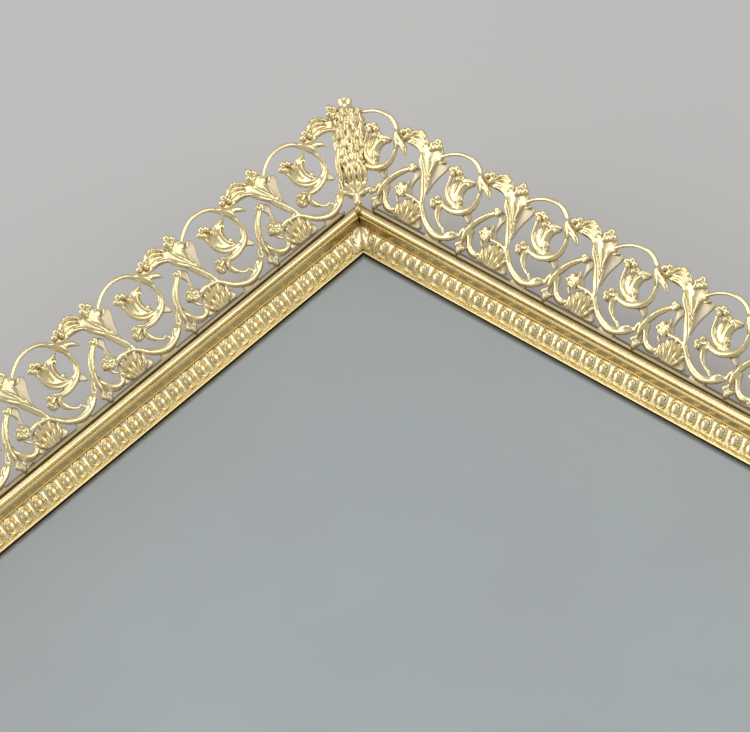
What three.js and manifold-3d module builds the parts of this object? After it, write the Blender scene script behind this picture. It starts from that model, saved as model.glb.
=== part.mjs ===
// A dresser vanity tray: a mirror plate in a mitred gilt moulding, with a pierced scroll gallery
// leaning outward along each side and a cast ornament standing in each corner.
// Millimetres, +Z up. The origin is the centre of the underside, on the surface the tray rests on.
// Each side is built once in its own frame: x runs along the side, to the right as seen from
// inside the tray, y points outward from the sight edge of the mirror, and z is up.

import * as THREE from 'three';
import { mergeVertices } from 'three/addons/utils/BufferGeometryUtils.js';
import Module from 'manifold-3d';

const wasm = await Module();
wasm.setup();

// Driving dimensions
const SIGHT_LENGTH = 354;        // visible mirror, along X
const SIGHT_DEPTH = 202;         // visible mirror, along Y
const RAIL_WIDTH = 8;            // moulding, from the sight edge to its outer wall
const CLEARANCE = 0.3;           // between neighbouring pieces
const FELT_THICK = 1;
const BOARD_THICK = 2;
const CARD_THICK = 0.5;
const MIRROR_THICK = 2.5;
const RIDGE_RISE = 7.4;          // ridge of the moulding, above the mirror
const GALLERY_LEAN = 49;         // degrees outward from vertical
const GALLERY_RISE = 22.6;       // along the lean, from the moulding to the ring tops
const GALLERY_THICK = 1.8;
const SCROLL_PITCH = 28.2;       // one repeat of the gallery's pattern
const LONG_PHASE = 16.9;         // first ring top after the left corner, on the long sides
const SHORT_PHASE = -0.1;        // last ring top before the right corner, on the short sides
const ORNAMENT_HEIGHT = 27;      // along its lean

// Levels and offsets worked out from them
const BOARD_Z = FELT_THICK;
const CARD_Z = BOARD_Z + BOARD_THICK;
const MIRROR_Z = CARD_Z + CARD_THICK;
const MIRROR_TOP = MIRROR_Z + MIRROR_THICK;
const RIDGE_Z = MIRROR_TOP + RIDGE_RISE;
const RIDGE_Y = 5.6;
const RIDGE_RADIUS = 0.8;
const SHOULDER_Z = RIDGE_Z - 0.55;
const WALL_THICK = 1.2;
const WALL_IN = RAIL_WIDTH - WALL_THICK;
const WALL_FOOT_Z = 0.6;
const REBATE = 2.5;
const REBATE_Z = MIRROR_Z + 1.1;
const LEAN = THREE.MathUtils.degToRad(GALLERY_LEAN);
const PANEL_TILT = Math.PI / 2 - LEAN;
const FLANGE_IN = RAIL_WIDTH + CLEARANCE;
const FLANGE_OUT = FLANGE_IN + 1.6;
const FLANGE_Z = 8.2;
const PANEL_FOOT_Z = SHOULDER_Z + 0.5;
const GALLERY_END_GAP = 6.2;
const SCREW_Z = 10.2;
const PIN_Z = BOARD_Z + BOARD_THICK / 2;

const SIDES = [
  { name: 'back', half: SIGHT_LENGTH / 2, out: SIGHT_DEPTH / 2, turn: 0, screws: 4, pins: 3 },
  { name: 'left', half: SIGHT_DEPTH / 2, out: SIGHT_LENGTH / 2, turn: 1, screws: 3, pins: 2 },
  { name: 'front', half: SIGHT_LENGTH / 2, out: SIGHT_DEPTH / 2, turn: 2, screws: 4, pins: 3 },
  { name: 'right', half: SIGHT_DEPTH / 2, out: SIGHT_LENGTH / 2, turn: 3, screws: 3, pins: 2 },
];
const CORNERS = [
  { name: 'back_left', x: -1, y: 1 },
  { name: 'front_left', x: -1, y: -1 },
  { name: 'front_right', x: 1, y: -1 },
  { name: 'back_right', x: 1, y: 1 },
];

const gilt = { color: 0xc9b682, roughness: 0.36, metalness: 1 };
const paleGilt = { color: 0xd9cba0, roughness: 0.4, metalness: 1 };
const brass = { color: 0xb59a52, roughness: 0.4, metalness: 1 };
const silvered = { color: 0xb9bdbe, roughness: 0.05, metalness: 1 };
const board = { color: 0x8a6a48, roughness: 0.85, metalness: 0 };
const card = { color: 0xb7a88c, roughness: 0.9, metalness: 0 };
const felt = { color: 0x5b2430, roughness: 1, metalness: 0 };

const tray = new THREE.Group();

function solidOf(geometry) {
  const plain = geometry.index ? geometry.toNonIndexed() : geometry.clone();
  plain.deleteAttribute('normal');
  plain.deleteAttribute('uv');
  const merged = mergeVertices(plain, 1e-4);
  const mesh = new wasm.Mesh({
    numProp: 3,
    vertProperties: new Float32Array(merged.attributes.position.array),
    triVerts: new Uint32Array(merged.index.array),
  });
  return new wasm.Manifold(mesh);
}

function geometryOf(solid) {
  const mesh = solid.getMesh();
  const geometry = new THREE.BufferGeometry();
  geometry.setAttribute('position', new THREE.BufferAttribute(mesh.vertProperties, 3));
  geometry.setIndex(new THREE.BufferAttribute(mesh.triVerts, 1));
  geometry.computeVertexNormals();
  return geometry;
}

function addPiece(name, geometry, look, parent = tray) {
  const mesh = new THREE.Mesh(geometry, new THREE.MeshStandardMaterial(look));
  mesh.name = name;
  parent.add(mesh);
}

// A group in which one side's own frame is x along, y outward, z up.
function sideGroup(side) {
  const group = new THREE.Group();
  group.rotation.z = side.turn * Math.PI / 2;
  group.position.set(0, side.out, 0).applyAxisAngle(new THREE.Vector3(0, 0, 1), group.rotation.z);
  tray.add(group);
  return group;
}

function roundedSlab(grow, z, thickness, radius) {
  const x = SIGHT_LENGTH / 2 + grow;
  const y = SIGHT_DEPTH / 2 + grow;
  const outline = new THREE.Shape();
  outline.moveTo(x, -y + radius);
  outline.lineTo(x, y - radius);
  outline.absarc(x - radius, y - radius, radius, 0, Math.PI / 2);
  outline.absarc(-x + radius, y - radius, radius, Math.PI / 2, Math.PI);
  outline.absarc(-x + radius, -y + radius, radius, Math.PI, Math.PI * 1.5);
  outline.absarc(x - radius, -y + radius, radius, Math.PI * 1.5, Math.PI * 2);
  const slab = new THREE.ExtrudeGeometry(outline, {
    depth: thickness, bevelEnabled: false, curveSegments: 4,
  });
  return slab.translate(0, 0, z);
}

// A short round rod along a side's y, from y0 outward to y1.
function rodAcross(x, z, radius, y0, y1, facets = 8) {
  const rod = new THREE.CylinderGeometry(radius, radius, y1 - y0, facets);
  return rod.translate(x, (y0 + y1) / 2, z);
}

function spacedAlong(half, count) {
  return Array.from({ length: count }, (_, i) => half * 2 * ((i + 0.5) / count - 0.5));
}

// The moulding's section, in y and z: lip, egg band, cove, fillet, ridge roll and shoulder above,
// and a stepped rebate below for the mirror and the board.
function railSection() {
  const z = (rise) => MIRROR_TOP + rise;
  const section = new THREE.Shape();
  section.moveTo(0, z(CLEARANCE));
  section.lineTo(REBATE, z(CLEARANCE));
  section.lineTo(REBATE, REBATE_Z);
  section.lineTo(WALL_IN, REBATE_Z);
  section.lineTo(WALL_IN, WALL_FOOT_Z);
  section.lineTo(RAIL_WIDTH, WALL_FOOT_Z);
  section.lineTo(RAIL_WIDTH, SHOULDER_Z);
  section.lineTo(WALL_IN, SHOULDER_Z);
  section.lineTo(RIDGE_Y + RIDGE_RADIUS, z(RIDGE_RISE - RIDGE_RADIUS));
  section.absarc(RIDGE_Y, z(RIDGE_RISE - RIDGE_RADIUS), RIDGE_RADIUS, 0, Math.PI);
  section.lineTo(4.6, z(6.7));
  section.lineTo(4.3, z(6.85));
  section.lineTo(3.9, z(6.2));
  section.lineTo(3.4, z(5.4));
  section.quadraticCurveTo(1.4, z(3.6), 1.25, z(0.6));
  section.lineTo(1, z(0.5));
  section.lineTo(0.5, z(0.7));
  section.closePath();
  return section;
}

// One moulding rail: its section drawn out along the side, with a 45 degree mitre at each end.
function makeRail(side, group) {
  const rail = new THREE.ExtrudeGeometry(railSection(), {
    depth: 1, bevelEnabled: false, curveSegments: 4,
  });
  const position = rail.attributes.position;
  for (let i = 0; i < position.count; i += 1) {
    const out = position.getX(i);
    const end = position.getZ(i) > 0.5 ? 1 : -1;
    position.setXYZ(i, end * (side.half + out - CLEARANCE), out, position.getY(i));
  }
  // The section's x, y and depth became y, z and x, which keeps the faces pointing out.
  let solid = solidOf(rail);
  for (const x of spacedAlong(side.half, side.screws)) {
    solid = solid.subtract(solidOf(rodAcross(x, SCREW_Z, 1.3, RAIL_WIDTH - 3, RAIL_WIDTH + 2)));
  }
  for (const x of spacedAlong(side.half, side.pins)) {
    solid = solid.subtract(solidOf(rodAcross(x, PIN_Z, 0.8, WALL_IN - 1, RAIL_WIDTH + 2)));
  }
  addPiece(`rail_${side.name}`, geometryOf(solid), gilt, group);
}

// Holes of the gallery, within one repeat. x is measured from the ring's top, y up the slope.
function galleryHoles() {
  return [
    // within the ring
    [[-5, 18.2], [-0.5, 21], [3.5, 20], [5.5, 17.5], [6.6, 13.8],
      [4.5, 12.3], [3.4, 15], [2, 17], [-0.8, 18.6], [-3, 18.4]],
    // left of the ring
    [[-5.6, 17], [-3.4, 16.5], [-3, 12.5], [-4.3, 9.6], [-6.3, 8.6], [-6.8, 12.6]],
    // under the ring
    [[0, 6.2], [2, 7.8], [5, 8.2], [6.5, 6.4], [4.8, 4.4], [1.5, 3.9]],
    // between the ring and the slanting stem
    [[8.6, 14.8], [11, 16.6], [13.8, 17], [14.2, 14.8], [11.8, 12.6], [9.6, 9.8], [7.6, 10], [7.6, 12]],
    // right of the slanting stem
    [[10.4, 6.4], [11, 9], [13.4, 11.8], [14, 10.4], [12, 7.8], [13.2, 5.2], [12.2, 4], [10.8, 4.8]],
    // beside the leaf stem
    [[16, 9.8], [17.2, 11.8], [18.6, 11.4], [19.8, 8.8], [17.6, 8.4]],
    // at the foot, and inside the lower scroll
    [[-6.3, 1.5], [-5.8, 3.1], [-3.5, 1.2]],
    [[3.4, 1.3], [5.2, 3.4], [7, 1.6]],
    [[-4.4, 7], [-2.4, 5.8], [-1.6, 4.4], [0.2, 3.2], [-1.8, 2.9], [-4, 4.4]],
  ];
}

function galleryTop() {
  return [[-7.6, 19.4], [-4.6, 21.6], [0, 22.6], [3.6, 21.5], [6.2, 19.4], [8.6, 21.5], [12, 22.3],
    [15.4, 20.4], [18, 22.5], [20, 20.8]];
}

// A pierced panel in x along the side and y up the slope, its ends following the corner mitres.
function galleryPanel(side, phase) {
  const startY = FLANGE_IN;
  const slope = Math.sin(LEAN);
  const endX = (y) => side.half + startY + y * slope - GALLERY_END_GAP;
  const height = GALLERY_RISE - 3;
  const first = Math.floor((-side.half - 20 - phase) / SCROLL_PITCH);
  const last = Math.ceil((side.half + 20 - phase) / SCROLL_PITCH);
  const tops = [];
  const openings = [];
  for (let k = first; k <= last; k += 1) {
    const x0 = phase + k * SCROLL_PITCH;
    for (const [x, y] of galleryTop()) {
      if (Math.abs(x + x0) < endX(height) - 1) tops.push(new THREE.Vector2(x + x0, y));
    }
    for (const hole of galleryHoles()) {
      // The outline drops towards its ends, so the holes near the top keep further from them.
      if (hole.every(([x, y]) => Math.abs(x + x0) < endX(y) - (y > 18 ? 9 : 2))) {
        openings.push(hole.map(([x, y]) => new THREE.Vector2(x + x0, y)));
      }
    }
  }
  const outline = new THREE.Shape([
    new THREE.Vector2(-endX(height), height),
    new THREE.Vector2(-endX(0), 0),
    new THREE.Vector2(endX(0), 0),
    new THREE.Vector2(endX(height), height),
    ...tops.reverse(),
  ]);
  outline.holes = openings.map((points) => new THREE.Path(points));
  const panel = new THREE.ExtrudeGeometry(outline, { depth: GALLERY_THICK, bevelEnabled: false });
  panel.rotateX(PANEL_TILT);
  const back_y = GALLERY_THICK * Math.sin(PANEL_TILT);
  const back_z = GALLERY_THICK * Math.cos(PANEL_TILT);
  return panel.translate(0, FLANGE_IN + back_y, PANEL_FOOT_Z - back_z);
}

// One gallery casting: the pierced panel on a flange that is screwed to the moulding's outer wall.
function makeGallery(side, group) {
  const isLong = side.half > SIGHT_DEPTH / 2;
  const phase = isLong ? LONG_PHASE - side.half : side.half + SHORT_PHASE;
  const reach = side.half + FLANGE_IN - GALLERY_END_GAP;
  const height = PANEL_FOOT_Z + 0.4 - FLANGE_Z;
  const flange = new THREE.BoxGeometry(reach * 2, FLANGE_OUT - FLANGE_IN, height);
  flange.translate(0, (FLANGE_IN + FLANGE_OUT) / 2, FLANGE_Z + height / 2);
  let solid = solidOf(galleryPanel(side, phase)).add(solidOf(flange));
  for (const x of spacedAlong(side.half, side.screws)) {
    solid = solid.subtract(solidOf(rodAcross(x, SCREW_Z, 1.3, RAIL_WIDTH, FLANGE_OUT + 1)));
  }
  addPiece(`gallery_${side.name}`, geometryOf(solid), paleGilt, group);
}

// Round-headed screw or pin along a side's y: the shank points inward, the head stands outside.
function headedRod(x, z, shank, head, yTip, ySeat) {
  const profile = [
    new THREE.Vector2(0, yTip),
    new THREE.Vector2(shank, yTip),
    new THREE.Vector2(shank, ySeat),
    new THREE.Vector2(head, ySeat),
    new THREE.Vector2(head * 0.75, ySeat + head * 0.5),
    new THREE.Vector2(0, ySeat + head * 0.7),
  ];
  return new THREE.LatheGeometry(profile, 8).translate(x, 0, z);
}

function makeFasteners(side, group) {
  spacedAlong(side.half, side.screws).forEach((x, i) => {
    const screw = headedRod(x, SCREW_Z, 1, 1.9, RAIL_WIDTH - 2.6, FLANGE_OUT + CLEARANCE);
    addPiece(`gallery_screw_${side.name}_${i + 1}`, screw, brass, group);
  });
  spacedAlong(side.half, side.pins).forEach((x, i) => {
    const pin = headedRod(x, PIN_Z, 0.5, 0.9, WALL_IN - 4, RAIL_WIDTH + CLEARANCE);
    addPiece(`board_pin_${side.name}_${i + 1}`, pin, brass, group);
  });
}

// The backing board, with a blind hole in its edge for each pin that holds it in the moulding.
function makeBoard() {
  let solid = solidOf(roundedSlab(WALL_IN - CLEARANCE, BOARD_Z, BOARD_THICK, 1));
  for (const side of SIDES) {
    for (const x of spacedAlong(side.half, side.pins)) {
      const hole = rodAcross(x, PIN_Z, 0.8, WALL_IN - 4.4, WALL_IN + 1);
      hole.translate(0, side.out, 0).rotateZ(side.turn * Math.PI / 2);
      solid = solid.subtract(solidOf(hole));
    }
  }
  addPiece('base_board', geometryOf(solid), board);
}

function cornerGroup(corner) {
  const group = new THREE.Group();
  group.position.set(corner.x * SIGHT_LENGTH / 2, corner.y * SIGHT_DEPTH / 2, 0);
  // Local y points outward along the mitre, x along the joint's face, z up.
  group.rotation.z = Math.atan2(corner.y, corner.x) - Math.PI / 2;
  tray.add(group);
  return group;
}

// A cast corner ornament: palmette foot, collar, swelling bunch and a flat-topped stub.
function makeOrnament(corner, group) {
  const h = ORNAMENT_HEIGHT / 27;
  const profile = [
    [0, 0], [1.6, 0], [2.4, 1.6], [4, 4.2], [3.2, 6.4], [2.8, 7.8], [3.8, 10], [4.2, 14], [4.2, 19],
    [4, 22.4], [3, 23.8], [1.5, 24.2], [1.7, 26.6], [1.2, 27], [0, 27],
  ].map(([radius, rise]) => new THREE.Vector2(radius, rise * h));
  const ornament = new THREE.LatheGeometry(profile, 14);
  ornament.scale(1, 1, 0.6);
  ornament.rotateX(Math.PI / 2);
  ornament.rotateX(-Math.atan(Math.tan(LEAN) * Math.SQRT2));
  ornament.translate(0, FLANGE_IN * Math.SQRT2 + 0.2, PANEL_FOOT_Z + 1.2);
  addPiece(`corner_ornament_${corner.name}`, ornament, paleGilt, group);
}

// A ball-headed pin standing on the mitre of the ridge, at the ornament's foot.
function makeCornerPin(corner, group) {
  const ball = 1.1;
  const centre = RIDGE_Z + CLEARANCE + ball + 0.3;
  const profile = [new THREE.Vector2(0, RIDGE_Z + CLEARANCE), new THREE.Vector2(0.5, RIDGE_Z + CLEARANCE)];
  for (let i = 1; i <= 5; i += 1) {
    const angle = -Math.PI / 2 + 0.45 + i * (Math.PI - 0.45) / 5;
    profile.push(new THREE.Vector2(ball * Math.cos(angle), centre + ball * Math.sin(angle)));
  }
  profile[profile.length - 1].x = 0;
  const pin = new THREE.LatheGeometry(profile, 10).rotateX(Math.PI / 2);
  addPiece(`corner_pin_${corner.name}`, pin.translate(0, RIDGE_Y * Math.SQRT2, 0), brass, group);
}

// A flat L of sheet brass under each mitre, which ties the two rails together.
function makeBracket(corner, group) {
  const arm = 24;
  const width = 3.6;
  const shape = new THREE.Shape();
  shape.moveTo(0, 0);
  shape.lineTo(-arm, 0);
  shape.lineTo(-arm, -width);
  shape.lineTo(-width, -width);
  shape.lineTo(-width, -arm);
  shape.lineTo(0, -arm);
  shape.closePath();
  const bracket = new THREE.ExtrudeGeometry(shape, { depth: 0.9, bevelEnabled: false });
  const thickness = REBATE_Z - CARD_Z - CLEARANCE * 2;
  bracket.scale(1, 1, thickness / 0.9);
  bracket.translate(WALL_IN - CLEARANCE, WALL_IN - CLEARANCE, CARD_Z + CLEARANCE);
  bracket.rotateZ(Math.PI / 4);
  addPiece(`corner_bracket_${corner.name}`, bracket, brass, group);
}

addPiece('base_felt', roundedSlab(WALL_IN - 1, 0, FELT_THICK, 1.5), felt);
makeBoard();
addPiece('mirror_liner', roundedSlab(REBATE - CLEARANCE, CARD_Z, CARD_THICK, 0.6), card);
addPiece('mirror_plate', roundedSlab(REBATE - CLEARANCE, MIRROR_Z, MIRROR_THICK, 0.6), silvered);

for (const side of SIDES) {
  const group = sideGroup(side);
  makeRail(side, group);
  makeGallery(side, group);
  makeFasteners(side, group);
}

for (const corner of CORNERS) {
  const group = cornerGroup(corner);
  makeOrnament(corner, group);
  makeCornerPin(corner, group);
  makeBracket(corner, group);
}

export default tray;
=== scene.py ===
import math

import bmesh
import bpy
import numpy as np
from mathutils import Matrix, Vector


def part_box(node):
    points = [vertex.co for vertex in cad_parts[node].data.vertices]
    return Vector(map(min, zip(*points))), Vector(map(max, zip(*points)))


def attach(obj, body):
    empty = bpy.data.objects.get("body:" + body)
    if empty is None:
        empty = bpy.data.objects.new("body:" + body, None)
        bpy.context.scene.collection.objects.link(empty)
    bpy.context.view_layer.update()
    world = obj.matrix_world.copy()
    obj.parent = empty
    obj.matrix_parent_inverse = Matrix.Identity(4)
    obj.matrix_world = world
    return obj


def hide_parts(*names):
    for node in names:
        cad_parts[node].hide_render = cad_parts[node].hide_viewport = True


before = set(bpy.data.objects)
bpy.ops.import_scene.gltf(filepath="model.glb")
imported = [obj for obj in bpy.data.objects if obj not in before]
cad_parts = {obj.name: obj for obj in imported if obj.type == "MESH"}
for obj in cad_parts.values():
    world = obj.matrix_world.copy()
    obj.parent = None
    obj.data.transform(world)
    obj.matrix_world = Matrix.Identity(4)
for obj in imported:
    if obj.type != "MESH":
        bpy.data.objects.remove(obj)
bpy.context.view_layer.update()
MM = 0.001
rng = np.random.default_rng(7)

# ---------------------------------------------------------------- sizes, from the CAD frame
plate_high = np.array(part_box("mirror_plate")[1]) / MM
MIRROR_TOP = plate_high[2]
PLATE_COVER = 2.2                     # how far the moulding's lip laps over the mirror's edge
HALF_X = plate_high[0] - PLATE_COVER
HALF_Y = plate_high[1] - PLATE_COVER
PITCH = 28.2                          # one repeat of the scrolls
LEAN = math.radians(49)               # of the gallery, from upright
RAIL_WIDTH = 8.0
FLANGE_IN = 8.3                       # inner face of the gallery's flange
FLANGE_THICK = 1.6
FLANGE_LOW = 8.3                      # height of its lower edge above the table
FOOT_Y = 8.25                         # where the sloping panel starts
FOOT_Z = MIRROR_TOP + 7.35
CORNER_GAP = 4.7                      # each gallery panel stops this far short of the corner
EGG = 4.5                             # spacing of the eggs
EGG_START = 4.9                       # middle of the first egg from the left corner
SIDES = {
    "back": (HALF_X, HALF_Y, 0), "left": (HALF_Y, HALF_X, 1),
    "front": (HALF_X, HALF_Y, 2), "right": (HALF_Y, HALF_X, 3),
}
OUTWARD = {"back": (0, 1), "left": (-1, 0), "front": (0, -1), "right": (1, 0)}
CORNERS = {"back_left": (-1, 1), "front_left": (-1, -1), "front_right": (1, -1), "back_right": (1, 1)}


def side_matrix(side):
    half, out, turn = SIDES[side]
    return Matrix.Rotation(turn * math.pi / 2, 4, "Z") @ Matrix.Translation((0, out, 0))


def corner_matrix(corner):
    x, y = CORNERS[corner]
    turn = math.atan2(y, x) - math.pi / 2
    return Matrix.Translation((x * HALF_X, y * HALF_Y, 0)) @ Matrix.Rotation(turn, 4, "Z")


def make_mesh(name, points, faces, matrix=None, smooth=True):
    """A mesh object from points in millimetres and an array of equal-length faces."""
    points = np.asarray(points, float)
    if matrix is not None:
        m = np.array(matrix)
        points = points @ m[:3, :3].T + m[:3, 3]
    faces = np.asarray(faces, np.int32)
    mesh = bpy.data.meshes.new(name)
    mesh.vertices.add(len(points))
    mesh.vertices.foreach_set("co", (points * MM).astype(np.float32).ravel())
    mesh.loops.add(faces.size)
    mesh.loops.foreach_set("vertex_index", faces.ravel())
    mesh.polygons.add(len(faces))
    mesh.polygons.foreach_set("loop_start", np.arange(0, faces.size, faces.shape[1], dtype=np.int32))
    mesh.update(calc_edges=True)
    mesh.validate()
    if smooth:
        mesh.polygons.foreach_set("use_smooth", np.ones(len(mesh.polygons), bool))
    obj = bpy.data.objects.new(name, mesh)
    bpy.context.scene.collection.objects.link(obj)
    return obj


def apply_modifiers(obj):
    depsgraph = bpy.context.evaluated_depsgraph_get()
    mesh = bpy.data.meshes.new_from_object(obj.evaluated_get(depsgraph))
    obj.modifiers.clear()
    obj.data = mesh


def copy_of(obj, name, matrix):
    """A second object with its own copy of the mesh, moved by a matrix given in millimetres."""
    other = bpy.data.objects.new(name, obj.data.copy())
    metres = matrix.copy()
    metres.translation = metres.translation * MM
    other.data.transform(metres)
    bpy.context.scene.collection.objects.link(other)
    return other


def place(obj, slot, *nodes):
    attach(obj, "root")
    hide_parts(*nodes)


def smooth_all(obj):
    obj.data.polygons.foreach_set("use_smooth", np.ones(len(obj.data.polygons), bool))


def thin_out(obj, quads, triangles):
    """Brings a dense mesh down to about a number of triangles."""
    thin = obj.modifiers.new("thin", "DECIMATE")
    thin.ratio = min(1.0, triangles / (2 * len(quads)))
    apply_modifiers(obj)
    smooth_all(obj)


def set_wear_and_shade(obj, values):
    """Per-vertex wear and painted shade, 0 to 1. Each gilt material says what it does with it."""
    layer = obj.data.attributes.new("patina", "FLOAT", "POINT")
    layer.data.foreach_set("value", np.clip(values, 0, 1).astype(np.float32))


def node_box(node):
    """A CAD node's low and high corners in millimetres."""
    return (np.array(corner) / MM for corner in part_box(node))


# ---------------------------------------------------------------- shapes as distance fields
def surface_nets(field, origin, step):
    """A closed quad mesh of the zero level of a sampled field, negative inside."""
    n = np.array(field.shape)
    inside = field < 0
    corner_count = np.zeros(n - 1, np.int8)
    for i in (0, 1):
        for j in (0, 1):
            for k in (0, 1):
                corner_count += inside[i:n[0] - 1 + i, j:n[1] - 1 + j, k:n[2] - 1 + k]
    cells = np.argwhere((corner_count > 0) & (corner_count < 8))
    index = np.full(n - 1, -1, np.int64)
    index[tuple(cells.T)] = np.arange(len(cells))
    total = np.zeros((len(cells), 3))
    count = np.zeros(len(cells))
    for axis in range(3):
        b, c = [a for a in range(3) if a != axis]
        for s in (0, 1):
            for t in (0, 1):
                low = cells.copy()
                low[:, b] += s
                low[:, c] += t
                high = low.copy()
                high[:, axis] += 1
                f0 = field[tuple(low.T)]
                f1 = field[tuple(high.T)]
                crossing = (f0 < 0) != (f1 < 0)
                share = np.where(crossing, f0 / np.where(crossing, f0 - f1, 1), 0)
                point = low.astype(float)
                point[:, axis] += share
                total[crossing] += point[crossing]
                count[crossing] += 1
    points = np.asarray(origin) + total / count[:, None] * step
    quads = []
    for axis in range(3):
        b, c = (axis + 1) % 3, (axis + 2) % 3
        window = [slice(1, -1)] * 3
        window[axis] = slice(0, -1)
        ahead = list(window)
        ahead[axis] = slice(1, None)
        leaving = inside[tuple(window)] & ~inside[tuple(ahead)]
        entering = ~inside[tuple(window)] & inside[tuple(ahead)]
        for mask, order in ((leaving, (0, 1, 2, 3)), (entering, (3, 2, 1, 0))):
            at = np.argwhere(mask)
            shift = np.ones(3, int)
            shift[axis] = 0
            at = at + shift
            ring = []
            for s, t in ((-1, -1), (0, -1), (0, 0), (-1, 0)):
                q = at.copy()
                q[:, b] += s
                q[:, c] += t
                ring.append(index[tuple(q.T)])
            quads.append(np.stack([ring[i] for i in order], 1))
    return points, np.concatenate(quads)


def curve_through(points, spacing=0.45):
    """A Catmull-Rom curve through points, as many columns as given, resampled evenly."""
    p = np.asarray(points, float)
    if len(p) == 2:
        count = max(2, int(np.linalg.norm(p[1, :2] - p[0, :2]) / spacing) + 1)
        return p[0] + (p[1] - p[0]) * np.linspace(0, 1, count)[:, None]
    ext = np.vstack([2 * p[0] - p[1], p, 2 * p[-1] - p[-2]])
    out = []
    for i in range(1, len(ext) - 2):
        a, b, c, d = ext[i - 1:i + 3]
        count = max(2, int(np.linalg.norm(c[:2] - b[:2]) / spacing) + 1)
        t = np.linspace(0, 1, count, endpoint=False)[:, None]
        out.append(0.5 * (2 * b + (c - a) * t + (2 * a - 5 * b + 4 * c - d) * t ** 2
                          + (3 * b - a - 3 * c + d) * t ** 3))
    out.append(p[-1:])
    return np.vstack(out)


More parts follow.
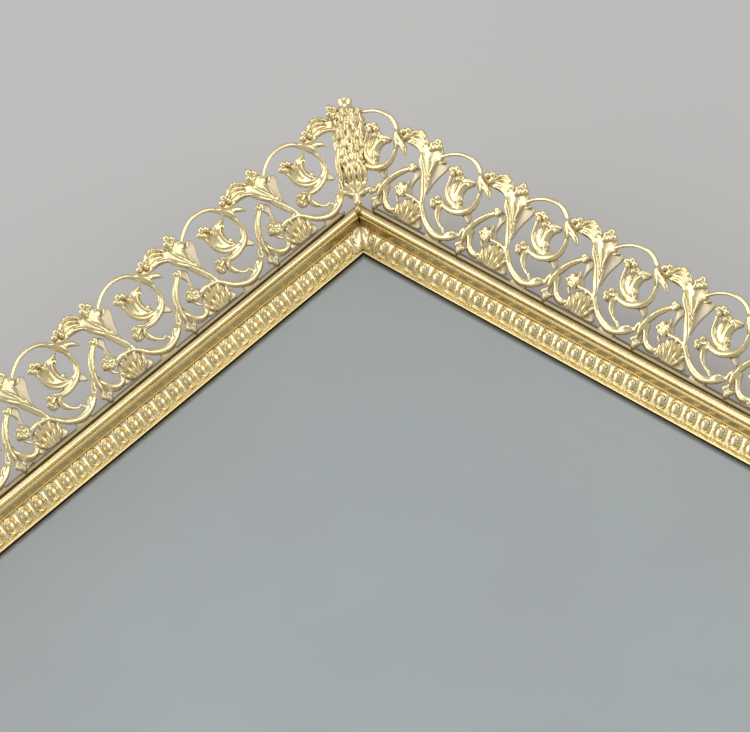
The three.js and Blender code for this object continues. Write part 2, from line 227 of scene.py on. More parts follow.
class Field:
    """A box of samples into which tapered strokes, balls and flat plates are blended."""

    def __init__(self, low, high, step, period=None):
        self.low = np.array(low, float)
        self.step = step
        self.n = np.maximum(np.round((np.array(high) - self.low) / step).astype(int), 2)
        self.period = period
        if period:
            self.n[0] = int(round(period / step))
        self.values = np.full(self.n, 3.0, np.float32)

    def axis(self, a, i0, i1):
        return self.low[a] + np.arange(i0, i1) * self.step

    def window(self, low, high):
        """Index arrays and coordinates of the samples around a box, wrapped along x when periodic."""
        i0 = np.floor((np.asarray(low) - self.low) / self.step).astype(int)
        i1 = np.ceil((np.asarray(high) - self.low) / self.step).astype(int) + 1
        for a in range(3):
            if a or not self.period:
                i0[a] = min(max(i0[a], 0), self.n[a] - 1)
                i1[a] = min(max(i1[a], i0[a] + 1), self.n[a])
        x, y, z = (self.axis(a, i0[a], i1[a]) for a in range(3))
        ix = np.arange(i0[0], i1[0]) % self.n[0]
        where = np.ix_(ix, np.arange(i0[1], i1[1]), np.arange(i0[2], i1[2]))
        return where, np.meshgrid(x, y, z, indexing="ij")

    def blend(self, where, d, soft):
        old = self.values[where]
        h = np.maximum(soft - np.abs(old - d), 0) / soft
        self.values[where] = np.minimum(old, d) - h * h * soft / 4

    def carve(self, where, d, soft):
        old = self.values[where]
        cut = -d
        h = np.maximum(soft - np.abs(old - cut), 0) / soft
        self.values[where] = np.maximum(old, cut) + h * h * soft / 4

    def stroke(self, points, radii, z=0.0, flat=1.0, soft=0.22, cut=False, spacing=0.45):
        """A tapered round bar through (x, y) or (x, y, z) points. flat scales its thickness across z."""
        p = np.asarray(points, float)
        if p.shape[1] == 2:
            zs = np.interp(np.linspace(0, 1, len(p)), np.linspace(0, 1, np.size(z)), np.atleast_1d(z))
            p = np.column_stack([p, zs])
        r = np.interp(np.linspace(0, 1, len(p)), np.linspace(0, 1, np.size(radii)), np.atleast_1d(radii))
        c = curve_through(np.column_stack([p, r]), spacing)
        # All of a stroke's parts are joined sharply first, so the soft blend happens once.
        reach = c[:, 3].max() * max(1, flat) + 1.1
        where, (x, y, zz) = self.window(c[:, :3].min(0) - reach, c[:, :3].max(0) + reach)
        best = np.full(x.shape, 9.0, np.float32)
        for a, b in zip(c[:-1], c[1:]):
            lo = np.minimum(a, b)[:3] - reach
            hi = np.maximum(a, b)[:3] + reach
            sx = np.flatnonzero((x[:, 0, 0] >= lo[0]) & (x[:, 0, 0] <= hi[0]))
            sy = np.flatnonzero((y[0, :, 0] >= lo[1]) & (y[0, :, 0] <= hi[1]))
            if not len(sx) or not len(sy):
                continue
            w = (slice(sx[0], sx[-1] + 1), slice(sy[0], sy[-1] + 1))
            ab = b[:3] - a[:3]
            ab[2] /= flat
            px, py, pz = x[w] - a[0], y[w] - a[1], (zz[w] - a[2]) / flat
            t = np.clip((px * ab[0] + py * ab[1] + pz * ab[2]) / max(ab @ ab, 1e-9), 0, 1)
            d = np.sqrt((px - t * ab[0]) ** 2 + (py - t * ab[1]) ** 2 + (pz - t * ab[2]) ** 2)
            d -= a[3] + t * (b[3] - a[3])
            best[w] = np.minimum(best[w], d * min(1, flat))
        (self.carve if cut else self.blend)(where, best, soft)

    def ball(self, x, y, r, z=0.4, soft=0.1):
        around = r + 1
        middle = np.array([x, y, z])
        where, (gx, gy, gz) = self.window(middle - around, middle + around)
        d = np.sqrt((gx - x) ** 2 + (gy - y) ** 2 + (gz - z) ** 2) - r
        self.blend(where, d, soft)

    def plate(self, outline, z=-0.35, half=0.4, soft=0.3, crown=0.0, round_by=0.25):
        """A flat web with a smooth outline, gently crowned towards +z."""
        loop = curve_through(np.vstack([outline, outline[:1]]), 0.5)[:-1]
        low = np.append(loop.min(0) - 1, z - half - 1)
        high = np.append(loop.max(0) + 1, z + half + crown + 1)
        where, (x, y, zz) = self.window(low, high)
        gx, gy = x[:, :, 0], y[:, :, 0]
        d = np.full(gx.shape, 9.0)
        inside = np.zeros(gx.shape, bool)
        for (ax, ay), (bx, by) in zip(loop, np.roll(loop, -1, 0)):
            ex, ey = bx - ax, by - ay
            px, py = gx - ax, gy - ay
            t = np.clip((px * ex + py * ey) / max(ex * ex + ey * ey, 1e-9), 0, 1)
            d = np.minimum(d, np.hypot(px - t * ex, py - t * ey))
            if ey:
                inside ^= ((ay > gy) != (by > gy)) & (px < ex * (gy - ay) / ey)
        d = np.where(inside, -d, d)[:, :, None]
        rise = crown * (1 - np.exp(np.minimum(d, 0) / 1.2))
        dz = np.abs(zz - z - rise / 2) - half - rise / 2
        dx = d + round_by
        dz = dz + round_by
        out = np.minimum(np.maximum(dx, dz), 0) + np.hypot(np.maximum(dx, 0), np.maximum(dz, 0)) - round_by
        self.blend(where, out, soft)


# ---------------------------------------------------------------- the gallery's motif
def berries(f, *places, r=0.72, z=0.55):
    """A cluster of balls on short stalks that meet at its middle."""
    mx, my = np.mean(places, axis=0)
    for x, y in places:
        x, y = x + 0.12 * (mx - x), y + 0.12 * (my - y)
        f.ball(x, y, r + 0.24, z)
        f.stroke([(mx, my), (x, y)], 0.42, z=z - 0.9)


def draw_motif(f):
    """One repeat of scrolls, leaves and berries, in millimetres.

    x is measured along the side from the ring's top, and y up the slope of the panel."""
    # pale flat webs behind the scrolls
    f.plate([(-9.4, 17.2), (-8.2, 18.4), (-5, 18), (-4.9, 16.6), (-6, 14.4), (-6.9, 12), (-7.4, 9.6),
             (-8, 8.6), (-8.3, 11), (-8.8, 14)], z=-0.7, half=0.3)
    f.plate([(-1.9, 13.4), (-0.9, 17), (0.6, 17.3), (2.3, 16.6), (4.3, 17.4), (4.6, 16.3), (3.1, 14.8),
             (2.7, 12.9), (3.6, 11), (2.6, 10.2), (0.4, 10.4), (-1.2, 11.8)], z=-0.3, crown=0.5)
    f.plate([(-4.9, 9.4), (-3.2, 9.9), (-1.5, 9), (-1.8, 7.5), (-3.4, 6.6), (-4.8, 7.3)], z=-0.55)
    f.plate([(-1.6, 8.1), (0.6, 7.9), (3, 8.3), (5.4, 8.4), (6.7, 7.6), (7.6, 7.6), (7.2, 9.6), (5.8, 10.4),
             (3, 9), (0, 8.8)], z=-0.5)
    f.plate([(5.9, 18.6), (6.6, 20), (8.4, 21.2), (10.4, 21.6), (12.6, 21.8), (14.6, 20.9), (16.2, 20.4),
             (17.8, 21.4), (19.2, 21), (20.6, 19.4), (21, 18), (20, 17), (19.9, 13.6), (20.9, 9.4),
             (19.8, 9.4), (17.6, 13), (15.4, 15.8), (14.6, 17.2), (12.6, 17.8), (10.4, 17.9), (8.6, 18)],
            z=-0.35, crown=0.35)
    f.plate([(14.2, 13.6), (16, 13.8), (17.1, 12.6), (16.4, 11), (16, 8.8), (16.8, 7.2), (15, 7), (14.6, 9),
             (15.2, 11)], z=-0.5)
    f.plate([(9, 7), (10, 6.6), (10.4, 4), (11.8, 2.6), (13.8, 2.6), (15.2, 3.6), (14.6, 1.3), (12, 0.8),
             (9.8, 2), (8.9, 4)], z=-0.45)
    # shell-like rosette under the arch
    f.plate([(14.3, 0.6), (14.3, 3.6), (15.8, 5.8), (18.4, 6.4), (21, 5.7), (22.3, 3.6), (23, 0.6)],
            z=-0.45, crown=0.3)
    for i, tip in enumerate(((14.8, 3.6), (16.3, 5.4), (18.4, 6.1), (20.5, 5.4), (21.9, 3.7))):
        foot = (16.8 + 0.8 * i, 0.7)
        f.stroke([foot, ((foot[0] + tip[0]) / 2 + 0.15 * (i - 2), tip[1] * 0.6), tip], (0.3, 0.62, 0.5),
                 z=(-0.2, 0.5, 0.25), soft=0.1)
    # ring
    f.stroke([(-7.6, 19), (-5.4, 20.5), (-2.7, 21.6), (0.2, 21.9), (2.8, 21.3), (4.7, 20), (5.9, 18.2)],
             (0.45, 0.47, 0.5, 0.55, 0.62, 0.72), z=0.1)
    f.stroke([(5.9, 18.2), (7, 16), (7.4, 13.8), (7, 11.6), (5.4, 9.9), (3.3, 8.9), (1.2, 8.5), (-0.9, 8.8),
              (-2, 9.7)], (0.62, 0.55, 0.62, 0.8, 0.98, 0.95, 0.9, 0.75, 0.4), z=0.2)
    f.stroke([(6.5, 11.9), (5.1, 10.6), (3.2, 9.8), (1.6, 9.4)], 0.16, z=1.1, cut=True, soft=0.1)
    # bellflower on the ring
    f.stroke([(5.3, 19.2), (6.1, 17.6), (6.5, 16.3)], (0.6, 0.75, 0.35), z=0.5)
    f.stroke([(5.6, 18.9), (7, 17.4), (7.6, 15.6)], (0.65, 0.8, 0.3), z=0.75)
    f.stroke([(5.8, 18.7), (8.2, 17.3), (9.6, 16.5), (10.8, 15.2)], (0.6, 0.8, 0.75, 0.25), z=0.6)
    # acanthus leaf within the ring
    f.stroke([(4.6, 10.3), (3, 10), (0.8, 10.2), (-0.9, 11.2), (-2, 12.9), (-2.2, 14.8), (-2.6, 16.6)],
             (0.4, 0.6, 0.65, 0.65, 0.55, 0.5, 0.35), z=0.45)
    f.stroke([(2.9, 10.6), (1.7, 12.4), (1.6, 14.4), (2.4, 15.9), (3.5, 16), (3.3, 15.2)],
             (0.3, 0.35, 0.4, 0.45, 0.35, 0.25), z=0.5)
    f.stroke([(0.4, 12.6), (0.3, 14.6), (-0.3, 17)], (0.3, 0.5, 0.2), z=0.35)
    f.stroke([(1.1, 14.8), (1.7, 16.6), (3, 16.9), (4.9, 17.1)], (0.3, 0.45, 0.4, 0.2), z=0.35)
    f.stroke([(2.4, 10.8), (2.9, 12), (3.7, 12)], (0.3, 0.4, 0.2), z=0.3)
    for bend in (0, 0.8, 1.6):
        f.stroke([(-1 + bend, 12.2), (-0.9 + bend, 14), (-0.6 + bend * 1.2, 16)], 0.12, z=0.55, cut=True,
                 soft=0.1)
    berries(f, (-3.1, 17.4), (-1.6, 18.3), (-0.4, 17.6), r=0.6)
    berries(f, (-2.2, 16.6), (0.1, 16), r=0.5, z=0.7)
    # bud and hook under the ring
    f.stroke([(-1.6, 9.4), (-3, 8.8), (-4.4, 8.2)], (0.4, 0.5, 0.4), z=0)
    berries(f, (-3.4, 9.9), (-4.6, 8.5), (-4.1, 7.4), r=0.55, z=0.3)
    f.stroke([(-1.4, 8.6), (-1.9, 7.2), (-1.5, 5.8), (-0.6, 4.7), (0.6, 3.9), (2, 3.4)],
             (0.45, 0.8, 0.75, 0.45, 0.35, 0.3), z=0.2)
    f.stroke([(1.5, 3.9), (1.9, 3.4), (2.3, 3)], (0.35, 0.45, 0.3), z=0.3)
    f.stroke([(3.3, 2.9), (4.4, 3.7), (5.6, 4.1)], (0.4, 0.6, 0.3), z=0.5)
    # lower scroll
    f.stroke([(-10.4, 12.7), (-9.4, 10.7), (-8.4, 8.9), (-7.2, 6.8), (-5.3, 4.4), (-3.4, 2.8), (-1.3, 1.8),
              (0.8, 1.5), (3.2, 2.1), (5, 3), (6.2, 4), (6.9, 5.4)],
             (0.5, 0.55, 0.55, 0.6, 0.7, 0.85, 0.95, 1, 0.95, 0.8, 0.6, 0.4),
             z=(0.35, 0.3, 0.1, 0), flat=0.85)
    f.stroke([(-4.6, 4.4), (-2.6, 2.9), (0, 2.2), (2.6, 2.4), (4.4, 3.1)], 0.15, z=1, cut=True, soft=0.1)
    f.plate([(-2.8, 0.2), (-2, 1.6), (1.2, 1.6), (2, 0.2)], z=-0.3)
    # arching stem and its berries
    f.stroke([(-5.4, 4.6), (-6.6, 5.9), (-8.3, 6.7), (-10.4, 7), (-12.2, 6.8)],
             (0.6, 0.6, 0.5, 0.45, 0.4), z=0.35)
    f.plate([(11.9, 6.6), (12.3, 8.4), (13.6, 9.3), (15.3, 8.4), (15.6, 6.6), (14.2, 5.6)], z=-0.35)
    berries(f, (12.5, 7.3), (14, 7.9), (15.1, 7.4), r=0.6)
    berries(f, (13.6, 6.4), (14.8, 6.2), (13.3, 8.7), r=0.5, z=0.6)
    f.stroke([(14.6, 7.9), (14.9, 9), (14.7, 10.5)], (0.5, 0.45, 0.15), z=0.3)
    f.stroke([(13, 6.3), (13.4, 5.2), (14.2, 4.4)], (0.35, 0.4, 0.3), z=0)
    # slanting stem with its bell
    f.stroke([(14.4, 13.4), (13.2, 12.6), (11.8, 11.4), (10.3, 9.7), (9.1, 7.7)],
             (0.5, 0.7, 0.8, 0.85, 0.85), z=0.2)
    f.stroke([(13.4, 12.5), (12, 11.3), (10.6, 9.7), (9.5, 7.9), (8.9, 6.4)], 0.14, z=1.0, cut=True, soft=0.1)
    f.stroke([(9.2, 7.9), (8.5, 6.2), (8.3, 4.9), (8.3, 3.4)], (0.55, 0.6, 0.6, 0.25), z=0.6)
    f.stroke([(8.8, 7.6), (7.5, 6.2), (7, 5), (7, 3.7)], (0.4, 0.5, 0.5, 0.2), z=0.3)
    f.stroke([(9.2, 7.2), (9.2, 5.6), (9.6, 4.2)], (0.4, 0.5, 0.2), z=0.2)
    f.stroke([(8.4, 4.4), (8, 2.4), (8.4, 0.6)], (0.5, 0.55, 0.8), z=0)
    berries(f, (7.3, 2), (9.3, 1.6), r=0.55, z=0.2)
    berries(f, (13.8, 13.9), (15, 13.7), (14.4, 12.8), r=0.5, z=0.4)
    # crescent beside it
    f.stroke([(9.6, 6.4), (9.8, 4.6), (10.8, 2.9), (12.2, 2), (13.8, 2.1), (14.8, 3)],
             (0.4, 0.6, 0.75, 0.8, 0.65, 0.4), z=0, flat=0.8)
    # head of the leaf
    berries(f, (7.1, 20.1), (8.5, 21), (9.1, 19.4), r=0.62)
    f.stroke([(9.6, 20), (10.6, 21.4), (12, 22), (13.4, 21.7), (14.6, 20.8), (15.8, 19.7)],
             (0.35, 0.5, 0.6, 0.6, 0.5, 0.3), z=0.45)
    for t in np.linspace(0.1, 0.9, 6):
        f.ball(9.9 + 5.6 * t, 20.4 + 1.9 * math.sin(math.pi * min(1, t * 1.1)) - 0.5 * t, 0.42, 0.85)
    f.stroke([(10.2, 19.6), (12.2, 19.9), (14.2, 19)], (0.3, 0.5, 0.3), z=0.3)
    f.stroke([(10.6, 18.6), (12.6, 18.6), (14.6, 17.7)], (0.25, 0.4, 0.25), z=0.25)
    berries(f, (16.9, 20.7), (18, 22), (19.2, 20.8), r=0.66)
    berries(f, (18.1, 20.2), (17, 19.5), r=0.5, z=0.6)
    # leaf stem running down into the next lower scroll
    f.stroke([(14.9, 17.2), (15.8, 15.8), (16.8, 14.6), (17.9, 13.4), (18.8, 12), (19.6, 10.6), (20.6, 8.8),
              (21.2, 7)], (0.35, 0.65, 0.6, 0.5, 0.55, 0.55, 0.5, 0.5), z=0.5)
    f.stroke([(16.6, 19.2), (17.4, 17), (18.4, 15.2), (19, 13.4)], (0.3, 0.4, 0.35, 0.25), z=0.15)
    f.stroke([(19.5, 17.2), (19.5, 15.4), (19.6, 13.6), (20.2, 11.2), (20.7, 9)],
             (0.3, 0.4, 0.35, 0.3, 0.3), z=0.25)
    for x in (0, 1.3, 2.6):
        vein = [(13.2 + x, 20.9 - x * 0.2), (15.6 + x * 0.9, 18.6 - x * 0.1),
                (17.3 + x * 0.75, 15.6 + x * 0.3)]
        f.stroke(vein, 0.13, z=0.55, cut=True, soft=0.1)
    for x in (19.1, 20, 20.7):
        f.stroke([(x, 16.9), (x * 0.5 + 9.7, 13.6), (20.2, 10.6)], 0.13, z=0.3, cut=True, soft=0.1)
    f.stroke([(20.6, 17.2), (21.4, 17.6), (22.2, 18.3)], (0.25, 0.4, 0.2), z=0.2)


def motif_field():
    step = PITCH / 136
    low = (-PITCH / 2, -0.8, -1.7)
    f = Field(low, (PITCH / 2, 23.4, 2.1), step, period=PITCH)
    draw_motif(f)
    # a narrow sill joins the feet, and the back is flattened as in an open mould
    where, (x, y, z) = f.window(low, (PITCH / 2 - 0.1, 1.6, 2.1))
    f.blend(where, np.maximum(np.abs(y + 0.35) - 0.42, np.abs(z + 0.5) - 0.5).astype(np.float32), 0.3)
    zz = f.axis(2, 0, f.n[2])[None, None, :]
    f.values = np.maximum(f.values, -(zz + 0.95)).astype(np.float32)
    return f


# ---------------------------------------------------------------- gallery castings
def gallery_points(uvz):
    """Panel coordinates (along, up the slope, out of the panel) to the side's frame."""
    u, v, w = uvz.T
    y = FOOT_Y + v * math.sin(LEAN) - w * math.cos(LEAN)
    z = FOOT_Z + v * math.cos(LEAN) + w * math.sin(LEAN)
    return np.column_stack([u, y, z])


def bar_mesh(section, x0, x1, mitre):
    """A closed section in (y, z), drawn from x0 to x1; each end is cut back by mitre times y."""
    section = np.asarray(section, float)
    n = len(section)
    low = np.column_stack([x0 - section[:, 0] * mitre, section])
    high = np.column_stack([x1 + section[:, 0] * mitre, section])
    faces = [(i, (i + 1) % n, n + (i + 1) % n, n + i) for i in range(n)]
    return np.vstack([low, high]), faces


def build_gallery(name, half, phase, motif):
    """The scroll pattern repeated along a side and cut to the corner mitres."""
    step = motif.step
    per = motif.n[0]
    end = half + 24
    i0 = int(math.floor((-end - phase - motif.low[0]) / step))
    i1 = int(math.ceil((end - phase - motif.low[0]) / step))
    field = motif.values[np.arange(i0, i1) % per]
    u = phase + motif.low[0] + np.arange(i0, i1) * step
    v = motif.axis(1, 0, motif.n[1])
    limit = half + FLANGE_IN + v * math.sin(LEAN) - CORNER_GAP
    field = np.maximum(field, (np.abs(u)[:, None] - limit[None, :])[:, :, None] * 0.75).astype(np.float32)
    field[0] = field[-1] = 1
    field = np.pad(field, 1, constant_values=1.0)
    origin = np.array([u[0], v[0], motif.low[2]]) - step
    points, quads = surface_nets(field, origin, step)
    obj = make_mesh(name, gallery_points(points), quads)
    thin_out(obj, quads, 170000)
    co = np.zeros(len(obj.data.vertices) * 3, np.float32)
    obj.data.vertices.foreach_get("co", co)
    co = co.reshape(-1, 3) / MM
    relief = (co[:, 2] - FOOT_Z) * math.sin(LEAN) - (co[:, 1] - FOOT_Y) * math.cos(LEAN)
    rise = (co[:, 2] - FOOT_Z) * math.cos(LEAN) + (co[:, 1] - FOOT_Y) * math.sin(LEAN)
    # pale wear on the low flat webs, and painted shadow towards the foot
    set_wear_and_shade(obj, np.maximum(0.5 * np.clip((0.4 - relief) / 0.5, 0, 1), (2.2 - rise) / 2.4))
    return obj


def flange_points(half):
    """The casting's upright flange against the moulding, with eased edges."""
    e = 0.35
    y0, y1, z0, z1 = FLANGE_IN, FLANGE_IN + FLANGE_THICK, FLANGE_LOW, FOOT_Z - e
    section = [(y0, z0 + e), (y0 + e, z0), (y1 - e, z0), (y1, z0 + e), (y1, z1 - 1.2), (y1 - e, z1 - 0.5),
               (y0 + e, z1), (y0, z1 - e)]
    return bar_mesh(section, -half - 2.6, half + 2.6, 0)


# ---------------------------------------------------------------- moulding
def arc(cx, cy, r, a0, a1, count):
    a = np.radians(np.linspace(a0, a1, count))
    return np.column_stack([cx + r * np.cos(a), cy + r * np.sin(a)])


def moulding_section():
    """(y, height above the mirror) around the section, and how far up the egg band each point is.

    The band runs 0 to 1 over the ovolo and on past 1 over the cove. It is -1 everywhere else."""
    t = np.linspace(0, 1, 34)[:, None]
    ovolo = (1 - t) ** 2 * np.array([1.08, 0.5]) + 2 * t * (1 - t) * np.array([1.95, 2.95]) \
        + t ** 2 * np.array([3.85, 4.2])
    lip = np.array([(0.06, 0.3), (0.0, 0.45), (0.08, 0.62), (0.28, 0.72), (0.56, 0.7), (0.82, 0.58),
                    (1.0, 0.48)])
    cove = np.array([(4.0, 4.16), (4.14, 4.22), (4.26, 4.55), (4.34, 5.2), (4.38, 5.95), (4.42, 6.6),
                     (4.54, 6.8), (4.76, 6.8), (4.92, 6.64), (5.06, 6.3)])
    roll = arc(6.12, 6.84, 0.78, 176, 4, 14)
    shoulder = np.array([(6.94, 6.6), (7.0, 6.5), (7.15, 6.45), (7.35, 6.45), (7.6, 6.46), (7.85, 6.47),
                         (8.05, 6.44), (8.14, 6.34), (8.16, 6.1)])
    low = 0.6 - MIRROR_TOP
    back = np.array([(8, 5.6), (8, low), (6.8, low), (6.8, -1.4), (2.5, -1.4), (2.5, 0.3)])
    rest = len(roll) + len(shoulder) + len(back)
    band = np.concatenate([np.full(len(lip), -1), np.linspace(0, 1, len(ovolo)),
                           np.linspace(1.02, 1.3, len(cove)), np.full(rest, -1)])
    return np.vstack([lip, ovolo, cove, roll, shoulder, back]), band


# painted shade around the section, as point numbers and values: none on the lip, eggs, fillet and ridge,
# painted shade in the cove, the grooves, the shoulder and the outer wall
SECTION_SHADE = ([0, 4, 6, 8, 12, 36, 39, 42, 45, 47, 49, 50, 52, 62, 64, 66, 73, 80],
          [0.5, 0.0, 0.5, 0.15, 0.0, 0.1, 0.8, 1.0, 0.8, 0.0, 0.0, 0.7, 0.0, 0.1, 0.6, 0.65, 0.6, 0.6])


def egg_relief(a, b, length=5.6):
    """Height of the egg-and-dart at a mm from an egg's middle and the share b up the band."""
    h = b * length
    egg = 0.72 * np.sqrt(np.maximum(0, 1 - (a / 1.12) ** 2 - ((h - 2.9) / 1.95) ** 2))
    reach = np.hypot(a / 1.62, (h - 3.0) / 2.3)
    rim = 0.36 * np.exp(-((reach - 1) / 0.14) ** 2)
    dart = 0.1 * np.clip(1 - (2.25 - np.abs(a)) / 0.4, 0, 1) * np.clip((1.2 - h) / 0.8, 0, 1)
    return np.maximum(np.maximum(egg, rim), dart) - 0.14 * np.exp(-((reach - 0.76) / 0.12) ** 2)


def build_moulding(side):
    half = SIDES[side][0]
    section, band = moulding_section()
    per_egg = 24
    ds = EGG / per_egg
    reach = half + RAIL_WIDTH
    s = np.arange(-math.ceil(reach / ds), math.ceil(reach / ds) + 1) * ds
    tangent = np.roll(section, -1, 0) - np.roll(section, 1, 0)
    tangent /= np.linalg.norm(tangent, axis=1, keepdims=True)
    normal = np.column_stack([-tangent[:, 1], tangent[:, 0]])
    y0, h0 = section.T
    end = half + y0 - 0.05
    x = np.clip(s[:, None], -end, end)
    from_mitre = end - np.abs(x)
    # eggs are spaced from the left corner; the rest of the pitch is taken up by the right mitre leaf
    a = (x + half - EGG_START + EGG / 2) % EGG - EGG / 2
    b = band[None, :] + 0 * x
    relief = np.where((b >= 0) & (b <= 1.0), egg_relief(a, b), 0)
    leaf_width = 2.6
    leaf = np.sqrt(np.maximum(0, 1 - (from_mitre / leaf_width) ** 2))
    near = np.clip((from_mitre - leaf_width * 0.85) / 0.9, 0, 1)
    on_band = b >= 0
    relief = relief * near + np.where(on_band, 0.5 * leaf * np.clip((1.12 - b) / 0.12, 0, 1), 0)
    crease = np.exp(-(from_mitre / 0.22) ** 2) * on_band * 0.1
    relief = relief - crease
    y = y0 + relief * normal[:, 0]
    h = h0 + relief * normal[:, 1]
    rows, cols = len(s), len(section)
    points = np.stack([x, y, h + MIRROR_TOP], -1).reshape(-1, 3)
    i = np.arange(rows - 1)[:, None] * cols
    j = np.arange(cols)[None, :]
    k = (j + 1) % cols
    quads = np.stack([i + j, i + k, i + cols + k, i + cols + j], -1).reshape(-1, 4)
    obj = make_mesh("moulding_" + side, points, quads, side_matrix(side))
    # painted shade around the section, with less of it on the raised eggs and rims
    set_wear_and_shade(obj, (np.interp(np.arange(cols), *SECTION_SHADE) - np.clip(relief * 1.6, 0, 0.5) * (band >= 0)).ravel())
    bm = bmesh.new()
    bm.from_mesh(obj.data)
    ends = []
    bm.verts.ensure_lookup_table()
    for start in (0, (rows - 1) * cols):
        ring = [bm.verts[start + n] for n in range(cols)]
        ends.append(ring if start else ring[::-1])
    for ring in ends:
        bm.faces.new(ring)
    bmesh.ops.remove_doubles(bm, verts=bm.verts, dist=2e-6)
    bmesh.ops.recalc_face_normals(bm, faces=bm.faces)
    bm.to_mesh(obj.data)
    bm.free()
    smooth_all(obj)
    obj.data.set_sharp_from_angle(angle=math.radians(50))
    return obj


# ---------------------------------------------------------------- corner ornament
def draw_ornament(f):
    """x across, y up the ornament, z towards the middle of the tray."""
    # foot and palmette
    f.stroke([(0, -0.4, 0), (0, 1.6, 0)], (1.1, 0.8), soft=0.3)
    for angle, length in ((-72, 4.3), (-38, 4.9), (0, 5.0), (38, 4.9), (72, 4.3)):
        a = math.radians(angle)
        tip = (math.sin(a) * length, 1.2 + math.cos(a) * length)
        mid = (tip[0] * 0.6, 1.2 + (tip[1] - 1.2) * 0.6)
        f.stroke([(0, 1.2, 0.2), (*mid, 0.9), (*tip, 0.7)], (0.3, 0.72, 0.4), soft=0.08)
    f.plate([(-2.2, 1.2), (-2.4, 3), (0, 4.4), (2.4, 3), (2.2, 1.2), (0, 0.6)], z=-0.4, half=0.5)
    # collar of small leaves
    f.stroke([(0, 4.8, 0), (0, 8, 0)], (2.0, 2.5), soft=0.3, flat=0.8)
    for x, z in ((-2.7, 0.5), (-1.45, 1.5), (0, 1.9), (1.45, 1.5), (2.7, 0.5)):
        f.stroke([(x * 0.8, 5, z), (x, 6.6, z + 0.4), (x * 1.15, 8.2, z + 0.7)], (0.45, 0.75, 0.35),
                 soft=0.1)
    # long bunch, covered with upright lumps of uneven size
    f.stroke([(0, 8, 0), (0, 10, 0), (0, 15.5, 0), (0, 20.5, 0), (0, 22, 0)],
             (2.3, 2.8, 3.35, 3.5, 2.9), flat=0.74, soft=0.3)
    draw = np.random.default_rng(11)
    for row in range(8):
        y = 8.6 + row * 1.9
        girth = np.interp(y, [8, 10.5, 15.5, 21, 23.4], [2.3, 2.9, 3.5, 3.7, 2.7])
        for i in range(7):
            t = (i + 0.5 * (row % 2)) / 6.5 * math.pi + draw.uniform(-0.12, 0.12)
            x, z = -girth * math.cos(t), girth * 0.76 * math.sin(t)
            mid = y + draw.uniform(-0.5, 0.5)
            reach = draw.uniform(0.35, 0.95)
            tilt = draw.uniform(-0.25, 0.25)
            f.stroke([(x - tilt, mid - reach, z), (x * 1.03 + tilt, mid + reach, z * 1.06)],
                     (draw.uniform(0.62, 0.85), draw.uniform(0.5, 0.7)), soft=0.12)
    for i in range(8):
        t = (i + 0.5) / 8 * 2 * math.pi
        f.ball(2.3 * math.cos(t), 22.5 + draw.uniform(-0.3, 0.5), 0.8, 1.6 * math.sin(t))
    # flat-topped stub
    f.stroke([(0, 22, 0), (0, 25.2, 0)], (1.5, 1.5), soft=0.4)
    f.stroke([(0, 25.6, 0), (0, 26, 0)], (1.85, 1.85), soft=0.2, flat=0.9)


def build_ornament():
    step = 0.17
    f = Field((-5.6, -2, -3.9), (5.6, 28, 4.4), step)
    draw_ornament(f)
    y = f.axis(1, 0, f.n[1])[None, :, None]
    f.values = np.maximum(f.values, y - 26.2).astype(np.float32)
    field = np.pad(f.values, 1, constant_values=1.0)
    points, quads = surface_nets(field, f.low - step, step)
    # two sloping panels meet along a line that leans out further than they do
    lean = math.atan(math.tan(LEAN) * math.sqrt(2))
    x, v, w = points.T
    # it stands a little off the corner's diagonal
    x = x + 0.03 * v
    base_y, base_z = FLANGE_IN * math.sqrt(2) - 0.9, FOOT_Z + 0.5
    y = base_y + v * math.sin(lean) - w * math.cos(lean)
    z = base_z + v * math.cos(lean) + w * math.sin(lean)
    obj = make_mesh("ornament", np.column_stack([-x, y, z]), quads[:, ::-1])
    thin_out(obj, quads, 60000)
    return obj


# ---------------------------------------------------------------- turned fasteners
def turned(name, profile, sides=28, matrix=None):
    """A lathe about z; the profile runs (radius, height) and starts and ends on the axis."""
    p = np.asarray(profile, float)
    inner = p[1:-1]
    a = np.linspace(0, 2 * math.pi, sides, endpoint=False)
    ring = np.stack([inner[:, None, 0] * np.cos(a), inner[:, None, 0] * np.sin(a),
                     np.repeat(inner[:, 1:2], sides, 1)], -1).reshape(-1, 3)
    points = np.vstack([ring, [(0, 0, p[0, 1]), (0, 0, p[-1, 1])]])
    faces = []
    for i in range(len(inner) - 1):
        for j in range(sides):
            k = (j + 1) % sides
            faces.append((i * sides + j, i * sides + k, (i + 1) * sides + k, (i + 1) * sides + j))
    n = len(ring)
    for j in range(sides):
        k = (j + 1) % sides
        faces.append((n, k, j, j))
        last = (len(inner) - 1) * sides
        faces.append((last + j, last + k, n + 1, n + 1))
    mesh = bpy.data.meshes.new(name)
    m = np.array(matrix) if matrix is not None else np.eye(4)
    points = points @ m[:3, :3].T + m[:3, 3]
    mesh.from_pydata((points * MM).tolist(), [], [tuple(dict.fromkeys(f)) for f in faces])
    mesh.polygons.foreach_set("use_smooth", np.ones(len(mesh.polygons), bool))
    obj = bpy.data.objects.new(name, mesh)
    bpy.context.scene.collection.objects.link(obj)
    mesh.set_sharp_from_angle(angle=math.radians(42))
    return obj


def dome(radius, rise, base, shank, tip):
    """The profile of a round head on a straight shank."""
    angles = np.linspace(0.12, math.pi / 2 - 0.08, 8)
    head = [(radius * math.cos(t), base + rise * math.sin(t)) for t in angles]
    return [(0, tip), (shank * 0.6, tip), (shank, tip + 0.4), (shank, base), (radius * 0.96, base), *head,
            (0, base + rise)]


